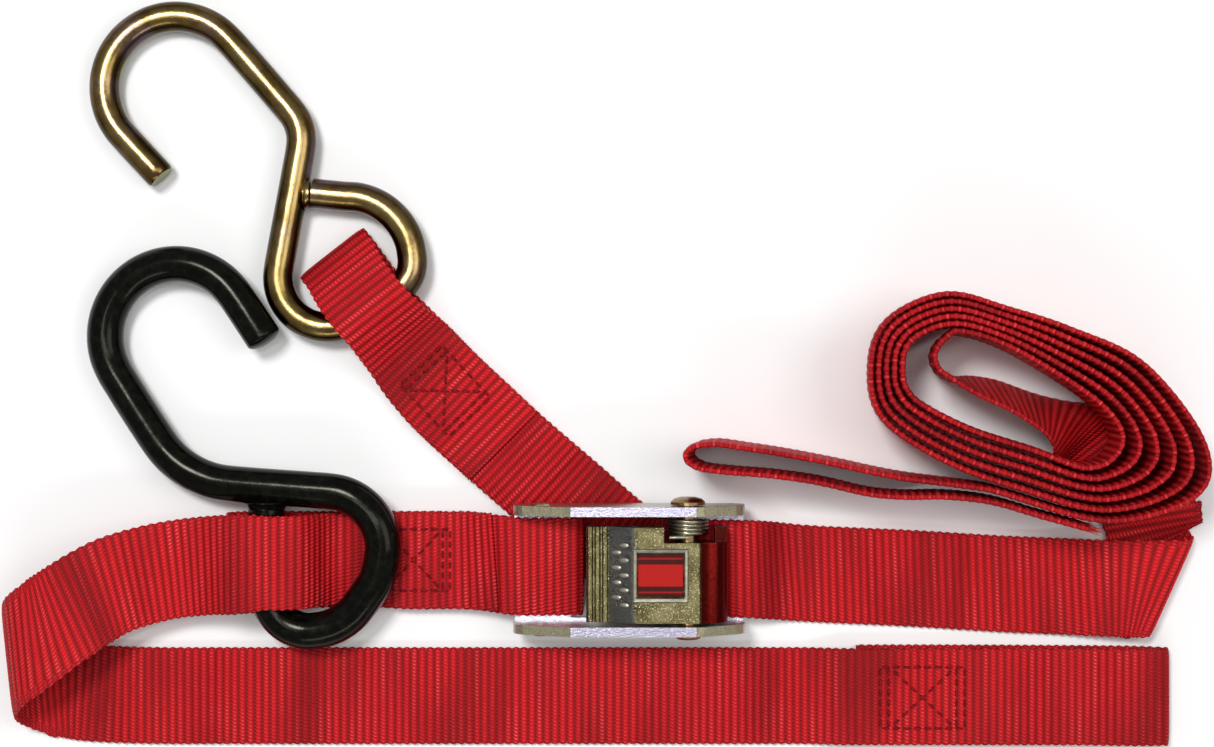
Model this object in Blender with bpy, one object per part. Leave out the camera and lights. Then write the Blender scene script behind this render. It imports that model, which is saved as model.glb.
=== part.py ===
"""Cam buckle tie down: a 1 inch strap with a gold wire hook, a cam buckle, a coated black wire hook
and a soft tie. It lies flat on a surface, its long side along X, its webbing folded and coiled.

Lengths here are in millimetres, and add_part turns them into metres."""

import math

import bpy
import bmesh
from mathutils import Matrix, Vector

MM = 0.001
CENTRE = Vector((0.05, -0.18, 0.0))  # the point of the drawing that stands at the origin

# Webbing
WEB_WIDTH = 25.4
WEB_THICK = 1.5
LAYER = 1.8  # from one layer of webbing to the next
ON_TABLE = WEB_THICK / 2
SECOND = ON_TABLE + LAYER
THIRD = SECOND + LAYER
GAP = 0.3

# Buckle
BUCKLE_Y = -50.2
FRAME_LEFT, FRAME_RIGHT = -24.1, 35.5
WINDOW_LEFT, WINDOW_RIGHT = -9.4, 21.0
FRAME_HALF, INNER_HALF, WINDOW_HALF = 16.4, 13.95, 13.2
BASE_BOTTOM, BASE_TOP, WALL_TOP = 4.2, 6.5, 21.2
PIVOT_X, PIVOT_Z = 20.7, 14.5
SHANK_RADIUS, BORE_RADIUS = 2.5, 2.8
LEVER_HALF = 12.1
LEVER_Y = -51.15

# Hooks
WIRE_RADIUS = 3.9
COATING_RADIUS = 4.7
COATING_BORE = 4.1
GOLD_AXIS_POINT = Vector((-61.0, 16.8, 6.0))
GOLD_AXIS = Vector((0.863, 0.505, 0.0)).normalized()


# ---------------------------------------------------------------- helpers

def material(name, colour, roughness, metallic=0.0):
    made = bpy.data.materials.new(name)
    made.use_nodes = True
    shader = made.node_tree.nodes["Principled BSDF"]
    shader.inputs["Base Color"].default_value = (*colour, 1.0)
    shader.inputs["Roughness"].default_value = roughness
    shader.inputs["Metallic"].default_value = metallic
    return made


def add_part(name, mesh_builder, finish, pivot=Vector((0.0, 0.0, 0.0)), smooth=35.0):
    """An object in metres from a bmesh in millimetres, with its origin at the pivot."""
    bmesh.ops.recalc_face_normals(mesh_builder, faces=mesh_builder.faces)
    if mesh_builder.calc_volume(signed=True) < 0.0:
        bmesh.ops.reverse_faces(mesh_builder, faces=mesh_builder.faces)
    bmesh.ops.translate(mesh_builder, verts=mesh_builder.verts, vec=-pivot)
    bmesh.ops.scale(mesh_builder, verts=mesh_builder.verts, vec=(MM, MM, MM))
    mesh = bpy.data.meshes.new(name)
    mesh_builder.to_mesh(mesh)
    mesh_builder.free()
    mesh.shade_smooth()
    mesh.set_sharp_from_angle(angle=math.radians(smooth))
    made = bpy.data.objects.new(name, mesh)
    made.location = (pivot - CENTRE) * MM
    made.data.materials.append(finish)
    bpy.context.scene.collection.objects.link(made)
    return made


def combine(base, other, operation):
    """Cuts the other object from the base, or joins it on, and keeps it as a hidden guide."""
    other.hide_render = True
    other.display_type = "WIRE"
    modifier = base.modifiers.new(other.name, "BOOLEAN")
    modifier.operation = operation
    modifier.object = other
    modifier.solver = "EXACT"


def prism(outline, low, high):
    """An outline in X and Z, pushed along Y from low to high."""
    made = bmesh.new()
    near = [made.verts.new((x, low, z)) for x, z in outline]
    far = [made.verts.new((x, high, z)) for x, z in outline]
    made.faces.new(near)
    made.faces.new(far)
    for i in range(len(outline)):
        j = (i + 1) % len(outline)
        made.faces.new((near[i], near[j], far[j], far[i]))
    return made


def box(x, y, z):
    return prism([(x[0], z[0]), (x[1], z[0]), (x[1], z[1]), (x[0], z[1])], y[0], y[1])


def rod(radius, centre_x, centre_z, low, high, sides=24):
    made = bmesh.new()
    depth = high - low
    turn = Matrix.Rotation(math.pi / 2, 4, "X")
    place = Matrix.Translation((centre_x, (low + high) / 2, centre_z)) @ turn
    bmesh.ops.create_cone(
        made, cap_ends=True, segments=sides, radius1=radius, radius2=radius, depth=depth, matrix=place
    )
    return made


def arc(centre, radius, start, end, steps):
    """Points on an arc, with angles in degrees."""
    angles = [math.radians(start + (end - start) * i / steps) for i in range(steps + 1)]
    return [(centre[0] + radius * math.cos(a), centre[1] + radius * math.sin(a)) for a in angles]


def smooth_chain(points, spacing, closed=False):
    """Points on a smooth curve through the given ones, at most the spacing apart. Each point is a
    tuple of numbers, the first three a place, and whatever follows is carried along."""
    rows = [Vector(p) for p in points]
    count = len(rows)

    def at(i):
        return rows[i % count] if closed else rows[min(max(i, 0), count - 1)]

    def gap(i):
        return max((at(i + 1).to_3d() - at(i).to_3d()).length, 1e-6)

    def slope(i):
        if not closed and i in (0, count - 1):
            return (at(i + 1) - at(i)) / gap(i) if i == 0 else (at(i) - at(i - 1)) / gap(i - 1)
        return (at(i + 1) - at(i - 1)) / (gap(i) + gap(i - 1))

    made = []
    for i in range(count if closed else count - 1):
        length = gap(i)
        steps = max(1, math.ceil(length / spacing))
        for step in range(steps):
            t = step / steps
            made.append(
                at(i) * (2 * t**3 - 3 * t**2 + 1)
                + slope(i) * length * (t**3 - 2 * t**2 + t)
                + at(i + 1) * (3 * t**2 - 2 * t**3)
                + slope(i + 1) * length * (t**3 - t**2)
            )
    if not closed:
        made.append(rows[-1])
    return made


def directions(places):
    """The heading at each place of an open chain."""
    last = len(places) - 1
    return [(places[min(i + 1, last)] - places[max(i - 1, 0)]).normalized() for i in range(last + 1)]


def strap_mesh(stations):
    """Webbing swept along stations of (x, y, z, across x, across y, across z, width), with its lowest
    edge held up by the table."""
    made = bmesh.new()
    places = [Vector(s[:3]) for s in stations]
    rings = []
    for place, heading, station in zip(places, directions(places), stations):
        across = Vector(station[3:6]).normalized()
        square = heading.cross(across)
        stretch = 1.0 / square.length if abs(across.z) < 0.01 else 1.0
        side = across * station[6] / 2 * stretch
        rise = square.normalized() * WEB_THICK / 2
        corners = (place + side + rise, place - side + rise, place - side - rise, place + side - rise)
        lift = Vector((0.0, 0.0, max(0.0, -min(corner.z for corner in corners))))
        rings.append([made.verts.new(corner + lift) for corner in corners])
    for before, after in zip(rings, rings[1:]):
        for k in range(4):
            m = (k + 1) % 4
            made.faces.new((before[k], before[m], after[m], after[k]))
    made.faces.new(rings[0])
    made.faces.new(rings[-1])
    return made


def tube_rings(made, places, radii, sides):
    """Rings of vertices square to a chain of places, turned as little as possible."""
    rings = []
    headings = directions(places)
    normal = headings[0].orthogonal().normalized()
    for place, heading, radius in zip(places, headings, radii):
        normal = (normal - heading * normal.dot(heading)).normalized()
        other = heading.cross(normal)
        angles = [2 * math.pi * k / sides for k in range(sides)]
        rings.append([
            made.verts.new(place + (normal * math.cos(a) + other * math.sin(a)) * radius) for a in angles
        ])
    return rings


def skin(made, rings):
    for before, after in zip(rings, rings[1:]):
        for k in range(len(before)):
            m = (k + 1) % len(before)
            made.faces.new((before[k], before[m], after[m], after[k]))


def domed(places, radius, dome, steps=4):
    """The places, begun with a dome of the given length, and the radius at each."""
    heading = (places[1] - places[0]).normalized()
    angles = [math.pi / 2 * (k + 0.35) / (steps + 0.35) for k in range(steps)]
    start = [places[0] - heading * dome * math.cos(angle) for angle in angles]
    radii = [radius * math.sin(angle) for angle in angles]
    return start + list(places), radii + [radius] * len(places)


def wire_mesh(places, radius, sides=12, dome=0.0):
    made = bmesh.new()
    radii = [radius] * len(places)
    if dome:
        places, radii = domed(places, radius, dome)
    rings = tube_rings(made, places, radii, sides)
    skin(made, rings)
    made.faces.new(rings[0])
    made.faces.new(rings[-1])
    return made


def level(azimuth):
    """A level direction across the webbing, from its compass angle in degrees."""
    return (math.cos(math.radians(azimuth)), math.sin(math.radians(azimuth)), 0.0)


def flat(x, y, z, azimuth, width=WEB_WIDTH):
    return (x, y, z, *level(azimuth), width)


def tilted(x, y, azimuth, tip):
    """A station whose webbing is tipped from level towards standing on edge, with its edge on the table."""
    lean = math.radians(tip)
    east, north, _ = level(azimuth)
    height = 0.25 + WEB_WIDTH / 2 * math.sin(lean) + WEB_THICK / 2 * math.cos(lean)
    return (x, y, height, east * math.cos(lean), north * math.cos(lean), -math.sin(lean), WEB_WIDTH)


def fold(centre, axis, out, radius, advance=0.0, width=WEB_WIDTH, steps=8, downward=True):
    """Webbing rolled half round a level axis, from above it to below it or the other way. With an
    advance it also moves along the axis, as a fold askew to the webbing does, and every station
    lies along the axis, so that the webbing keeps to the roll."""
    centre = Vector(centre)
    axis = Vector(axis).normalized()
    out = Vector(out).normalized()
    made = []
    for k in range(steps + 1):
        angle = math.pi * (0.5 - k / steps)
        place = centre + out * radius * math.cos(angle) + Vector((0.0, 0.0, radius * math.sin(angle)))
        place += axis * advance * (k / steps - 0.5)
        made.append((*place, *axis, width))
    return made if downward else made[::-1]


# ---------------------------------------------------------------- webbing routes

COIL_LIFT = 2.1  # the coil rides over the strap beneath its right half
COIL_LEAN = Vector((0.12, 0.0, -0.993))  # the coil stands on edge and leans a little to the left
COIL_TURNS = 5.78
INNER_TURN, OUTER_TURN = 0.0, 6.0
# The coil's centre line at its first and its sixth turn, clockwise from the left end
INNER_LOOP = (
    (77.5, 0.6), (79.1, 6.9), (88.0, 10.3), (99.2, 7.5), (112.1, 0.2), (123.6, -8.2),
    (127.9, -14.3), (126.2, -19.2), (120.6, -21.9), (108.7, -17.5), (92.8, -12.1), (79.9, -5.0),
)
OUTER_LOOP = (
    (65.6, 2.5), (70.6, 14.6), (85.8, 21.4), (102.2, 17.3), (118.4, 12.2), (136.8, 3.3),
    (152.3, -17.2), (150.5, -31.0), (128.0, -37.6), (103.8, -31.7), (84.8, -24.4), (68.5, -12.5),
)


def coil_height(x):
    """Height of the coil's middle: it lies on the table at the left and on webbing at the right."""
    rise = min(max((x - 70.0) / 25.0, 0.0), 1.0)
    return WEB_WIDTH / 2 + 0.2 + COIL_LIFT * rise * rise * (3 - 2 * rise)


def on_edge(x, y, lean=COIL_LEAN):
    return (x, y, coil_height(x), *lean, WEB_WIDTH)


def coil_stations(first=0.17, spacing=5.0, per_turn=48):
    inner = smooth_chain([(*p, 0.0) for p in INNER_LOOP], spacing=1e6, closed=True)
    outer = smooth_chain([(*p, 0.0) for p in OUTER_LOOP], spacing=1e6, closed=True)
    parts = len(inner)

    def loop_place(points, share):
        """The place on a closed loop, share of the way round."""
        step = share * parts
        i = int(step) % parts
        t = step - int(step)
        a, b, c, d = (points[(i + k) % parts] for k in (-1, 0, 1, 2))
        return 0.5 * (2 * b + (c - a) * t + (2 * a - 5 * b + 4 * c - d) * t * t
                      + (3 * b - a - 3 * c + d) * t**3)

    made = []
    last = None
    for k in range(int((COIL_TURNS - first) * per_turn) + 1):
        turn = first + k / per_turn
        share = turn % 1.0
        mix = (turn - INNER_TURN) / (OUTER_TURN - INNER_TURN)
        place = loop_place(inner, share) * (1 - mix) + loop_place(outer, share) * mix
        if last is None or (place - last).length > spacing * 0.55:
            made.append(on_edge(place.x, place.y))
            last = place
    return made


def main_strap_route():
    upper = [
        flat(-27.2, -18.9, SECOND, 45), flat(-34.0, -12.4, SECOND, 45),
        flat(-42.8, -4.3, SECOND, 46), flat(-49.9, 3.6, SECOND, 45, 24.5),
        flat(-52.8, 7.2, 5.0, 42, 23.0), flat(-55.7, 10.6, 9.4, 39, 21.5),
        flat(-58.4, 13.9, 12.2, 38, 20.8), flat(-61.2, 17.1, 12.9, 38, 20.8),
        flat(-65.0, 21.8, 12.0, 38, 20.8),
    ]
    gold_fold = fold((-69.0, 28.1, ON_TABLE + 4.0), level(38), level(128), 4.0, width=20.8)
    lower = [
        flat(-61.0, 17.4, ON_TABLE, 38, 20.8), flat(-53.5, 8.0, ON_TABLE, 42, 23.0),
        flat(-42.8, -4.3, ON_TABLE, 46), flat(-27.2, -18.9, ON_TABLE, 46),
        flat(-9.4, -34.3, ON_TABLE, 49), flat(-1.0, -41.7, ON_TABLE, 50),
    ]
    up_through_window = [
        flat(4.5, -45.9, ON_TABLE, 57), flat(8.7, -48.4, 1.3, 67), flat(12.2, -49.8, 3.2, 78),
        flat(15.2, -50.4, 5.6, 86), flat(18.3, -50.5, 7.4, 90), flat(22.0, -50.5, 7.65, 90),
        flat(34.0, -50.6, 7.65, 91), flat(38.5, -50.9, 6.6, 92), flat(43.5, -51.5, 3.4, 93),
        flat(49.0, -52.2, 1.1, 94), flat(56.0, -52.7, ON_TABLE, 92),
    ]
    flat_run = [
        flat(80.0, -53.8, ON_TABLE, 92), flat(103.0, -55.2, ON_TABLE, 92),
        flat(118.0, -55.8, 1.2, 92), flat(132.0, -56.1, 4.2, 91),
    ]
    under = fold((145.0, -54.3, ON_TABLE + 2.6), (0.41, 0.913, 0), (0.913, -0.41, 0), 2.6, 3.7)
    into_coil = [
        flat(143.5, -40.0, ON_TABLE, 10), flat(139.2, -30.0, ON_TABLE, 25),
        flat(133.0, -20.5, ON_TABLE, 34), tilted(128.0, -17.0, 38, 4), tilted(124.6, -15.6, 40, 18),
        tilted(121.6, -14.6, 42, 36), tilted(118.4, -13.4, 46, 52), tilted(114.6, -11.7, 56, 63),
        tilted(110.0, -9.6, 72, 69), tilted(101.5, -5.6, 88, 73), tilted(94.0, -3.3, 80, 79),
    ]
    turn_back = [
        on_edge(87.6, -1.2), on_edge(84.6, 0.9), on_edge(83.4, 4.2), on_edge(84.6, 7.4),
    ]
    coil = coil_stations()
    leaving = [
        on_edge(93.5, -28.5), on_edge(84.0, -27.3), on_edge(76.0, -26.3), on_edge(68.0, -24.8),
        on_edge(58.0, -22.6), on_edge(45.4, -20.2), on_edge(35.0, -18.6), on_edge(28.0, -17.7),
        on_edge(23.4, -18.3),
    ]
    hairpin = [
        on_edge(21.2, -19.9), on_edge(21.4, -21.9), on_edge(23.9, -23.6),
    ]
    returning = [
        on_edge(30.0, -24.6), on_edge(42.0, -25.6), on_edge(54.0, -27.3), on_edge(67.5, -30.3),
        on_edge(76.0, -31.0), on_edge(86.2, -30.9), on_edge(97.7, -32.2), on_edge(110.0, -35.7),
        on_edge(122.0, -39.0),
    ]
    through_buckle = smooth_chain(upper + gold_fold + lower + up_through_window + flat_run + under, 6.0)
    to_coil = smooth_chain(under[-1:] + into_coil + turn_back + coil[:1], 4.0)
    end = smooth_chain(coil[-1:] + leaving + hairpin + returning, 5.0)
    return through_buckle + to_coil[1:] + coil[1:] + end[1:]


ANCHOR_Y = -48.8
# The anchor strap's rise over the black hook's leg, seen from the side
ANCHOR_RISE = (
    (-67.5, SECOND), (-71.5, 2.75), (-74.7, 5.2), (-77.5, 9.6), (-80.0, 12.9), (-84.0, 14.05),
    (-88.0, 14.05),
)


def anchor_strap_route():
    y = ANCHOR_Y
    bar_y = BUCKLE_Y + 0.2
    bar = fold((-8.9, bar_y, 5.325), (0, 1, 0), (1, 0, 0), 2.325, downward=False)
    leg = fold((-91.5, y, 7.4), (0, 1, 0), (-1, 0, 0), 6.65)
    stations = [
        flat(-40.5, y, ON_TABLE, 90), flat(-37.0, y, ON_TABLE, 90), flat(-33.0, y - 0.4, 1.9, 92),
        flat(-29.5, y - 0.8, 3.0, 92), flat(-24.0, bar_y, 3.0, 91),
        *bar,
        flat(-23.5, bar_y, 7.65, 91), flat(-27.5, y - 0.8, 7.0, 92), flat(-32.5, y - 0.4, 4.0, 92),
        flat(-37.5, y, SECOND, 90), flat(-52.0, y, SECOND, 90),
        *[flat(x, y + 0.3, z, 90, 23.9) for x, z in ANCHOR_RISE],
        flat(-91.0, y, 14.05, 90),
        *leg,
        flat(-82.0, y, ON_TABLE, 90), flat(-60.0, y, ON_TABLE, 90), flat(-43.0, y, ON_TABLE, 90),
    ]
    return smooth_chain(stations, 6.0)


def lifted(profile, by):
    """A profile in X and Z moved square to itself, up and outward."""
    made = []
    last = len(profile) - 1
    for i, (x, z) in enumerate(profile):
        before, after = profile[max(i - 1, 0)], profile[min(i + 1, last)]
        heading = Vector((after[0] - before[0], after[1] - before[1])).normalized()
        made.append((x + heading.y * by, z - heading.x * by))
    return made


def soft_tie_route():
    y = ANCHOR_Y
    left_roll = fold((-146.13, -74.6, ON_TABLE + 7.95), (-0.106, 0.994, 0), (-0.994, -0.106, 0), 7.95, -14.0)
    end_loop = fold((145.0, -84.5, ON_TABLE + 1.6), (0, 1, 0), (1, 0, 0), 1.6, steps=6)
    run_y = -84.6
    stations = [
        flat(-29.2, y, 8.3, 94), flat(-33.0, y, 6.6, 93), flat(-38.0, y, 4.7, 91),
        flat(-42.0, y, THIRD, 90), flat(-52.0, y, THIRD, 90),
        *[flat(x, y + 0.3, z, 90, 23.9) for x, z in lifted(ANCHOR_RISE, LAYER + 0.1)],
        flat(-94.5, y, 15.7, 90),
        flat(-101.5, -49.3, 12.2, 92), flat(-109.0, -50.2, 9.6, 95), flat(-117.0, -51.6, 9.6, 99),
        flat(-127.0, -54.6, 12.4, 105), flat(-137.0, -60.5, 15.6, 114),
        *left_roll,
        flat(-138.0, -83.6, ON_TABLE, 87), flat(-122.0, -84.5, ON_TABLE, 90),
        flat(-100.0, run_y, ON_TABLE, 90), flat(20.0, run_y, ON_TABLE, 90),
        flat(52.0, run_y, ON_TABLE, 90), flat(57.0, run_y, 1.6, 90), flat(61.5, run_y, SECOND, 90),
        flat(66.0, run_y, SECOND, 90),
        flat(95.0, run_y, SECOND, 90), flat(125.0, run_y, 2.8, 90), flat(137.0, run_y, 3.7, 90),
        *end_loop,
        flat(137.0, -84.2, ON_TABLE, 90), flat(93.0, -83.9, ON_TABLE, 90),
        flat(65.0, -83.9, ON_TABLE, 90),
    ]
    return smooth_chain(stations, 8.0)


def box_stitch(centre, along, length, width, bottom, height=0.25, thread=1.1):
    """A box with a cross sewn in it: one thread plate with four three-sided windows."""
    made = bmesh.new()
    half = (length / 2, width / 2)
    corners = [Vector((sx * half[0], sy * half[1])) for sx, sy in ((-1, -1), (1, -1), (1, 1), (-1, 1))]
    sectors = []
    for i in range(4):
        a, b = corners[i], corners[(i + 1) % 4]
        middle = (a + b) / 3
        pull = 2.2 * thread / min(half)
        sectors.append([p.lerp(middle, pull) for p in (a, b)] + [(a + b) * 0.5 * pull])
    heading = Vector((math.cos(math.radians(along)), math.sin(math.radians(along))))
    side = Vector((-heading.y, heading.x))

    def layer(z):
        def put(p):
            place = Vector(centre) + heading * p.x + side * p.y
            return made.verts.new((place.x, place.y, z))
        return [put(p) for p in corners], [[put(p) for p in sector] for sector in sectors]

    low, high = layer(bottom), layer(bottom + height)
    for outer, inner in (low, high):
        for i in range(4):
            j = (i + 1) % 4
            made.faces.new((outer[i], outer[j], inner[i][1], inner[i][0]))
            made.faces.new((outer[j], inner[j][0], inner[j][2], inner[i][2], inner[i][1]))
        made.faces.new([inner[i][2] for i in range(4)])
    for i in range(4):
        j = (i + 1) % 4
        made.faces.new((low[0][i], low[0][j], high[0][j], high[0][i]))
        for k in range(3):
            m = (k + 1) % 3
            made.faces.new((low[1][i][k], low[1][i][m], high[1][i][m], high[1][i][k]))
    return made


# ---------------------------------------------------------------- hooks

# Each hook is one wire, given by its tip, its bends as (centre x, centre y, radius, from, to) with
# the angles in degrees, and its end, which is welded to its own shank.
GOLD_TIP, GOLD_END = (-116.3, 51.4), (-76.6, 46.9)
GOLD_BENDS = (
    (-112.5, 74.6, 18.6, 215, 41),  # bowl
    (-91.6, 60.6, 12.0, 41, -11),  # top of the shank
    (-72.6, 25.0, 13.0, 169, 299),  # eye, left
    (-58.7, 28.6, 8.1, -60, 0),  # eye, right
    (-67.7, 29.0, 17.1, 4, 92),  # eye, back to the shank
)
BLACK_TIP, BLACK_END = (-89.9, 10.6), (-88.1, -35.2)
BLACK_BENDS = (
    (-112.0, 9.7, 18.8, 37, 210),  # bowl
    (-96.0, -3.6, 25.0, 212, 264),  # foot of the shank
    (-72.5, -45.2, 14.8, 86, 0),  # eye, top
    (-84.6, -44.1, 26.8, -6, -20),  # eye, right
    (-77.05, -50.35, 16.2, -33, -87),  # eye, bottom
    (-77.1, -55.8, 10.8, -95, -176),  # then the leg under the webbing
)
GOLD_SLOPE = 0.0218  # the gold hook slopes down from the webbing to its bowl
BLACK_SLOPE = 0.08  # the black hook lies over the webbing at its eye
BLACK_LEFT = -130.8


def bent_wire(tip, bends, end, step=13.0):
    """Points along a wire of straight runs and bends."""
    made = [tip]
    for x, y, radius, start, stop in bends:
        steps = max(3, round(abs(stop - start) / step))
        made += arc((x, y), radius, start, stop, steps)
    return made + [end]


def gold_places(spacing):
    out = Vector((-GOLD_AXIS.y, GOLD_AXIS.x, 0.0))
    made = []
    for x, y in bent_wire(GOLD_TIP, GOLD_BENDS, GOLD_END):
        reach = (Vector((x, y, 0.0)) - GOLD_AXIS_POINT).dot(out)
        made.append((x, y, GOLD_AXIS_POINT.z - GOLD_SLOPE * max(reach, 0.0)))
    return smooth_chain(made, spacing)


def black_places(spacing):
    points = bent_wire(BLACK_TIP, BLACK_BENDS, BLACK_END)
    return smooth_chain([(x, y, COATING_RADIUS + BLACK_SLOPE * (x - BLACK_LEFT)) for x, y in points], spacing)


def weld_lens(centre, heading, radius=3.2, thickness=0.4):
    """The weld metal between a wire's end and its shank, square to the heading in degrees."""
    made = bmesh.new()
    turn = Matrix.Rotation(math.radians(heading), 4, "Z")
    shape = Matrix.Diagonal((thickness / 2 / radius, 1.0, 1.0, 1.0))
    place = Matrix.Translation(centre) @ turn @ shape
    bmesh.ops.create_icosphere(made, subdivisions=2, radius=radius, matrix=place)
    return made


def coating_mesh(places):
    """A dipped sleeve: closed and round at the hook's tip, open where the eye is welded."""
    made = bmesh.new()
    outer_places, outer_radii = domed(places, COATING_RADIUS, COATING_RADIUS)
    inner_places, inner_radii = domed(places, COATING_BORE, COATING_BORE)
    outer = tube_rings(made, outer_places, outer_radii, 12)
    inner = tube_rings(made, inner_places, inner_radii, 12)
    skin(made, outer)
    skin(made, inner)
    made.faces.new(outer[0])
    made.faces.new(inner[0])
    skin(made, [outer[-1], inner[-1]])
    return made


# ---------------------------------------------------------------- buckle

def wall_outline():
    """A side wall from the side: full height between the rivet and the window's left end, and
    lower, round ends over the two bars."""
    left = [(FRAME_LEFT + 2.5, BASE_BOTTOM), (FRAME_LEFT, BASE_BOTTOM + 2.5)]
    left_top = arc((FRAME_LEFT + 5.0, 11.5), 5.0, 180, 120, 4)
    right_top = arc((FRAME_RIGHT - 5.0, 11.0), 5.0, 60, 0, 4)
    right = [(FRAME_RIGHT, BASE_BOTTOM + 2.5), (FRAME_RIGHT - 2.5, BASE_BOTTOM)]
    top = [(-11.4, 20.2), (-9.2, WALL_TOP), (22.6, WALL_TOP), (24.6, 20.2)]
    return left + left_top + top + right_top + right


def buckle_frame(finish):
    centre = BUCKLE_Y
    base = add_part("buckle_frame", box((FRAME_LEFT, FRAME_RIGHT), (centre - 15.0, centre + 15.0),
                                        (BASE_BOTTOM, BASE_TOP)), finish)
    for side, label in ((-1, "near"), (1, "far")):
        low, high = sorted((centre + side * INNER_HALF, centre + side * FRAME_HALF))
        wall = add_part(f"{label}_wall", prism(wall_outline(), low, high), finish)
        combine(base, wall, "UNION")
        dimple = bmesh.new()
        place = Matrix.Translation((-17.0, centre + side * (FRAME_HALF - 0.2), 12.6))
        shape = place @ Matrix.Diagonal((1.0, 0.35, 1.0, 1.0))
        bmesh.ops.create_icosphere(dimple, subdivisions=2, radius=3.0, matrix=shape)
        combine(base, add_part(f"{label}_dimple", dimple, finish), "UNION")
    window = box((WINDOW_LEFT, WINDOW_RIGHT), (centre - WINDOW_HALF, centre + WINDOW_HALF),
                 (BASE_BOTTOM - 1.0, BASE_TOP + 1.0))
    combine(base, add_part("window", window, finish), "DIFFERENCE")
    bore = rod(BORE_RADIUS, PIVOT_X, PIVOT_Z, centre - 20.0, centre + 20.0)
    combine(base, add_part("rivet_bore", bore, finish), "DIFFERENCE")
    rounding = base.modifiers.new("rounding", "BEVEL")
    rounding.width = 0.45 * MM
    rounding.segments = 2
    rounding.limit_method = "ANGLE"
    rounding.angle_limit = math.radians(50)


def pivot_rivet(finish):
    """The rivet from its peened end at the near wall to its domed head at the far wall."""
    near = BUCKLE_Y - FRAME_HALF - GAP
    far = BUCKLE_Y + FRAME_HALF + GAP
    profile = [(0.0, near - 1.0), (2.6, near - 1.0), (3.5, near - 0.5), (3.5, near), (SHANK_RADIUS, near)]
    profile += [(SHANK_RADIUS, far), (4.45, far), (4.45, far + 0.7), (3.6, far + 1.5), (2.0, far + 1.95)]
    profile += [(0.0, far + 2.0)]
    made = bmesh.new()
    points = [made.verts.new((PIVOT_X + r, y, PIVOT_Z)) for r, y in profile]
    edges = [made.edges.new(pair) for pair in zip(points, points[1:])]
    bmesh.ops.spin(made, geom=points + edges, cent=(PIVOT_X, 0.0, PIVOT_Z), axis=(0, 1, 0),
                   angle=2 * math.pi, steps=24, use_merge=True)
    bmesh.ops.remove_doubles(made, verts=made.verts, dist=0.0005)
    add_part("pivot_rivet", made, finish)


def torsion_spring(finish):
    """Four turns round the rivet beside the far wall, one leg on the base and one in the lever's notch."""
    radius, wire, turns = 4.7, 0.57, 4
    start_y, end_y = BUCKLE_Y + INNER_HALF - 0.9, BUCKLE_Y + INNER_HALF - 5.2
    steps = turns * 16
    low_leg = (PIVOT_X - 9.0, start_y, BASE_TOP + 0.9)
    turn = []
    for k in range(steps + 1):
        angle = math.radians(-100) - 2 * math.pi * turns * k / steps - math.radians(170) * k / steps
        y = start_y + (end_y - start_y) * k / steps
        turn.append((PIVOT_X + radius * math.cos(angle), y, PIVOT_Z + radius * math.sin(angle)))
    high_leg = (turn[-1][0] - 4.9, end_y - 0.1, turn[-1][2] + 0.1)
    near_low = (PIVOT_X - 4.0, start_y, BASE_TOP + 1.9)
    places = [Vector(p) for p in [low_leg, near_low] + turn + [high_leg]]
    add_part("torsion_spring", wire_mesh(places, wire, sides=8), finish, smooth=60.0)


def cam_lever(finish, inlay_finish):
    pivot = Vector((PIVOT_X, LEVER_Y, PIVOT_Z))
    cam = [(PIVOT_X + r * math.cos(math.radians(a)), PIVOT_Z + r * math.sin(math.radians(a)))
           for a, r in ((-150, 5.0), (-120, 5.0), (-105, 5.3), (-90, 5.7), (-75, 6.1), (-60, 6.6),
                        (-45, 7.7), (-30, 8.9), (-15, 9.8), (0, 10.1), (14, 9.9))]
    ridges = []
    for k in range(3):
        x = 0.3 - 1.9 * k
        ridges += [(x, 16.6), (x - 0.4, 17.3), (x - 1.2, 17.3), (x - 1.6, 16.6)]
    outline = [(-5.3, 14.6)] + [(3.0, 13.2), (12.0, 12.4)] + cam
    outline += [(27.6, 18.9), (24.2, 19.4), (23.4, 20.4), (8.0, 20.4), (6.2, 19.8)] + ridges + [(-5.3, 16.4)]
    lever = add_part("cam_lever", prism(outline, LEVER_Y - LEVER_HALF, LEVER_Y + LEVER_HALF), finish, pivot)
    recess = box((7.6, 19.6), (LEVER_Y - 5.75, LEVER_Y + 5.75), (18.6, 22.0))
    combine(lever, add_part("recess", recess, finish), "DIFFERENCE")
    notch = box((14.4, 27.5), (LEVER_Y + LEVER_HALF - 3.9, LEVER_Y + LEVER_HALF + 1.0), (5.0, 22.0))
    combine(lever, add_part("spring_notch", notch, finish), "DIFFERENCE")
    bore = rod(BORE_RADIUS, PIVOT_X, PIVOT_Z, LEVER_Y - 20.0, LEVER_Y + 20.0)
    combine(lever, add_part("lever_bore", bore, finish), "DIFFERENCE")
    plate = box((7.95, 19.25), (LEVER_Y - 5.4, LEVER_Y + 5.4), (18.9, 19.7))
    add_part("lever_inlay", plate, inlay_finish, pivot)


# ---------------------------------------------------------------- the whole object

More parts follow.
